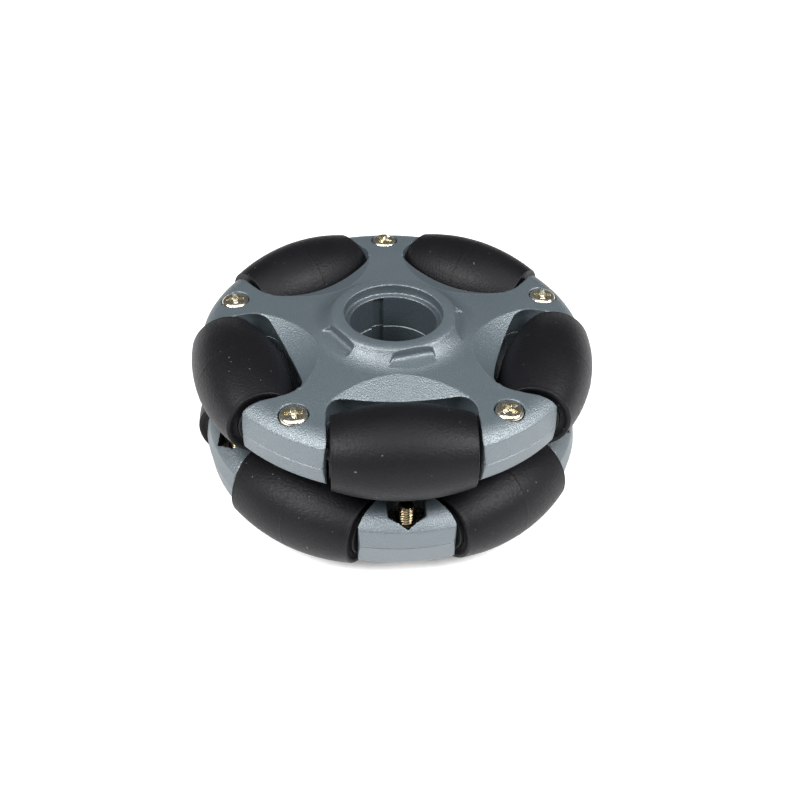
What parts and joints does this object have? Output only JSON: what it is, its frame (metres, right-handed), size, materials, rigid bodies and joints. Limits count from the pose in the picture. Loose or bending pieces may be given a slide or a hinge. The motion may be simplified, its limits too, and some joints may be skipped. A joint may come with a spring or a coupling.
{
  "type": "omni wheel",
  "caption": "Staggered-row omni wheel: moulded half shells screwed together around freely turning barrel rollers, with a keyed through bore for a shaft or hub",
  "frame": {"origin": "middle of the wheel, on its axis, half way between the two hub faces", "axes": "+Z along the wheel's axis, towards the upper plate; the upper plate has an arm along +Y"},
  "size_m": [0.058, 0.058, 0.0264],
  "materials": {
    "shell_plastic": "satin blue-grey moulded plastic, lightly spark-eroded",
    "roller_rubber": "matte black",
    "core_plastic": "black",
    "axle_steel": "ground steel",
    "screw_nickel": "warm nickel plate",
    "nut_steel": "plain steel"
  },
  "bodies": {
    "wheel_hub": {"upper_outer_shell": "shell_plastic", "upper_inner_shell": "shell_plastic", "upper_axle_1": "axle_steel", "upper_screw_1": "screw_nickel", "upper_nut_1": "nut_steel", "upper_axle_2": "axle_steel", "upper_screw_2": "screw_nickel", "upper_nut_2": "nut_steel", "upper_axle_3": "axle_steel", "upper_screw_3": "screw_nickel", "upper_nut_3": "nut_steel", "upper_axle_4": "axle_steel", "upper_screw_4": "screw_nickel", "upper_nut_4": "nut_steel", "upper_axle_5": "axle_steel", "upper_screw_5": "screw_nickel", "upper_nut_5": "nut_steel", "lower_outer_shell": "shell_plastic", "lower_inner_shell": "shell_plastic", "lower_axle_1": "axle_steel", "lower_screw_1": "screw_nickel", "lower_nut_1": "nut_steel", "lower_axle_2": "axle_steel", "lower_screw_2": "screw_nickel", "lower_nut_2": "nut_steel", "lower_axle_3": "axle_steel", "lower_screw_3": "screw_nickel", "lower_nut_3": "nut_steel", "lower_axle_4": "axle_steel", "lower_screw_4": "screw_nickel", "lower_nut_4": "nut_steel", "lower_axle_5": "axle_steel", "lower_screw_5": "screw_nickel", "lower_nut_5": "nut_steel"},
    "upper_roller_1": {"upper_roller_tyre_1": "roller_rubber", "upper_roller_core_1": "core_plastic"},
    "upper_roller_2": {"upper_roller_tyre_2": "roller_rubber", "upper_roller_core_2": "core_plastic"},
    "upper_roller_3": {"upper_roller_tyre_3": "roller_rubber", "upper_roller_core_3": "core_plastic"},
    "upper_roller_4": {"upper_roller_tyre_4": "roller_rubber", "upper_roller_core_4": "core_plastic"},
    "upper_roller_5": {"upper_roller_tyre_5": "roller_rubber", "upper_roller_core_5": "core_plastic"},
    "lower_roller_1": {"lower_roller_tyre_1": "roller_rubber", "lower_roller_core_1": "core_plastic"},
    "lower_roller_2": {"lower_roller_tyre_2": "roller_rubber", "lower_roller_core_2": "core_plastic"},
    "lower_roller_3": {"lower_roller_tyre_3": "roller_rubber", "lower_roller_core_3": "core_plastic"},
    "lower_roller_4": {"lower_roller_tyre_4": "roller_rubber", "lower_roller_core_4": "core_plastic"},
    "lower_roller_5": {"lower_roller_tyre_5": "roller_rubber", "lower_roller_core_5": "core_plastic"}
  },
  "joints": [
    {"name": "upper_roller_1_spin", "type": "hinge", "parent": "wheel_hub", "child": "upper_roller_1", "pos_m": [-0.01324, 0.01823, 0.00641], "axis": [0.809, 0.5878, 0], "continuous": true},
    {"name": "upper_roller_2_spin", "type": "hinge", "parent": "wheel_hub", "child": "upper_roller_2", "pos_m": [-0.02143, -0.00696, 0.00641], "axis": [-0.309, 0.9511, 0], "continuous": true},
    {"name": "upper_roller_3_spin", "type": "hinge", "parent": "wheel_hub", "child": "upper_roller_3", "pos_m": [0, -0.02253, 0.00641], "axis": [-1, 0, 0], "continuous": true},
    {"name": "upper_roller_4_spin", "type": "hinge", "parent": "wheel_hub", "child": "upper_roller_4", "pos_m": [0.02143, -0.00696, 0.00641], "axis": [-0.309, -0.9511, 0], "continuous": true},
    {"name": "upper_roller_5_spin", "type": "hinge", "parent": "wheel_hub", "child": "upper_roller_5", "pos_m": [0.01324, 0.01823, 0.00641], "axis": [0.809, -0.5878, 0], "continuous": true},
    {"name": "lower_roller_1_spin", "type": "hinge", "parent": "wheel_hub", "child": "lower_roller_1", "pos_m": [-0.01279, -0.01855, -0.00641], "axis": [0.8231, -0.5678, 0], "continuous": true},
    {"name": "lower_roller_2_spin", "type": "hinge", "parent": "wheel_hub", "child": "lower_roller_2", "pos_m": [-0.02159, 0.00644, -0.00641], "axis": [-0.2857, -0.9583, 0], "continuous": true},
    {"name": "lower_roller_3_spin", "type": "hinge", "parent": "wheel_hub", "child": "lower_roller_3", "pos_m": [-0.00055, 0.02252, -0.00641], "axis": [-0.9997, -0.0244, 0], "continuous": true},
    {"name": "lower_roller_4_spin", "type": "hinge", "parent": "wheel_hub", "child": "lower_roller_4", "pos_m": [0.02125, 0.00748, -0.00641], "axis": [-0.3322, 0.9432, 0], "continuous": true},
    {"name": "lower_roller_5_spin", "type": "hinge", "parent": "wheel_hub", "child": "lower_roller_5", "pos_m": [0.01368, -0.0179, -0.00641], "axis": [0.7944, 0.6074, 0], "continuous": true}
  ]
}
